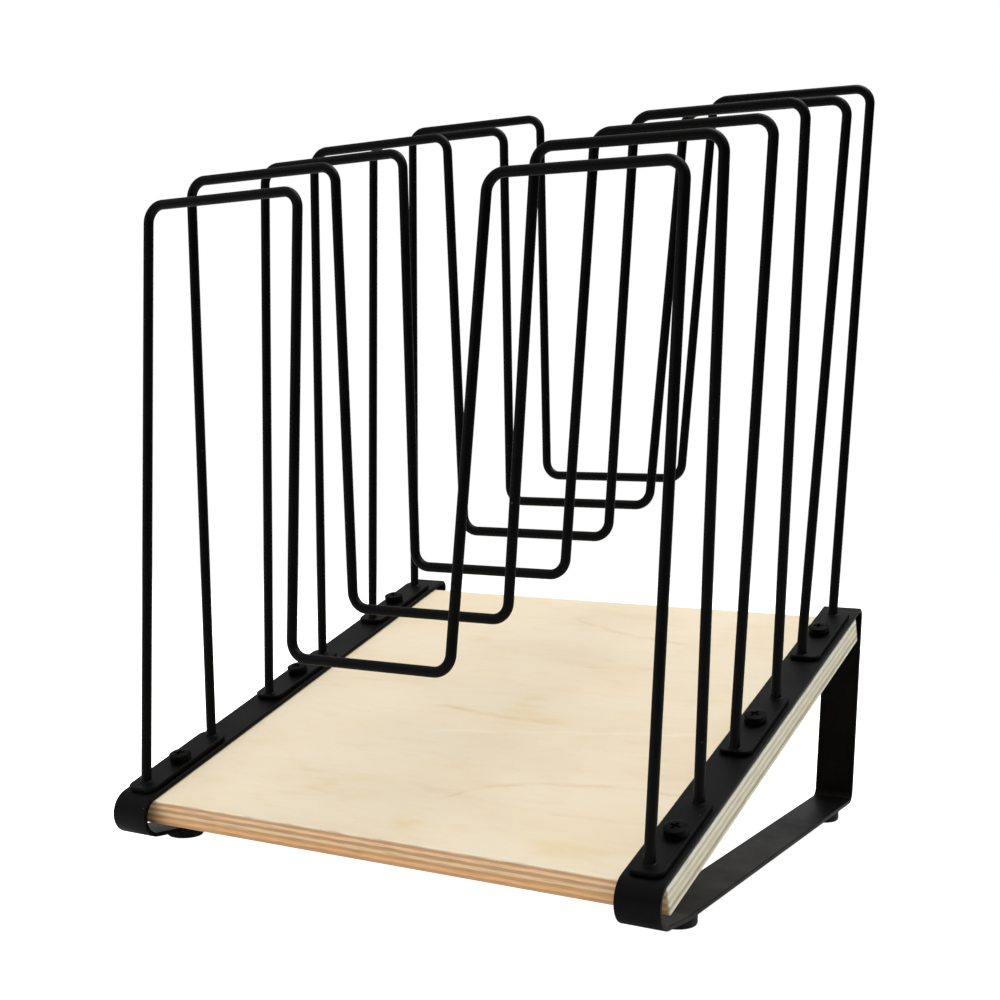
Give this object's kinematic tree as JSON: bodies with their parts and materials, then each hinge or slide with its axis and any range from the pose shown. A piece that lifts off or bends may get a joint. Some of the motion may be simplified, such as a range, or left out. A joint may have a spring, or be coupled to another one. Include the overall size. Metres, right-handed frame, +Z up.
{
  "type": "desktop file organizer",
  "caption": "Desktop file organizer: a sloping plywood base in bent black steel straps, with a row of M-shaped wires that hold files upright.",
  "frame": {"origin": "on the desk, under the middle of the organizer's bounding box", "axes": "+Z up, -Y towards the low front edge of the board, +X to the right for someone who faces that edge"},
  "size_m": [0.2814, 0.2572, 0.3695],
  "materials": {
    "birch_plywood": "matt clear finish",
    "black_powder_coat": "satin powder coat",
    "black_oxide": "satin black",
    "black_rubber": "matt"
  },
  "bodies": {
    "root": {"base_board": "birch_plywood", "left_strap": "black_powder_coat", "right_strap": "black_powder_coat", "left_plate_front": "black_powder_coat", "left_plate_middle": "black_powder_coat", "left_plate_rear": "black_powder_coat", "right_plate_front": "black_powder_coat", "right_plate_middle": "black_powder_coat", "right_plate_rear": "black_powder_coat", "wire_1": "black_powder_coat", "wire_2": "black_powder_coat", "wire_3": "black_powder_coat", "wire_4": "black_powder_coat", "wire_5": "black_powder_coat", "wire_6": "black_powder_coat", "left_screw_front": "black_oxide", "left_screw_middle": "black_oxide", "left_screw_rear": "black_oxide", "right_screw_front": "black_oxide", "right_screw_middle": "black_oxide", "right_screw_rear": "black_oxide", "left_foot_front": "black_rubber", "left_foot_rear": "black_rubber", "right_foot_front": "black_rubber", "right_foot_rear": "black_rubber"}
  },
  "joints": []
}
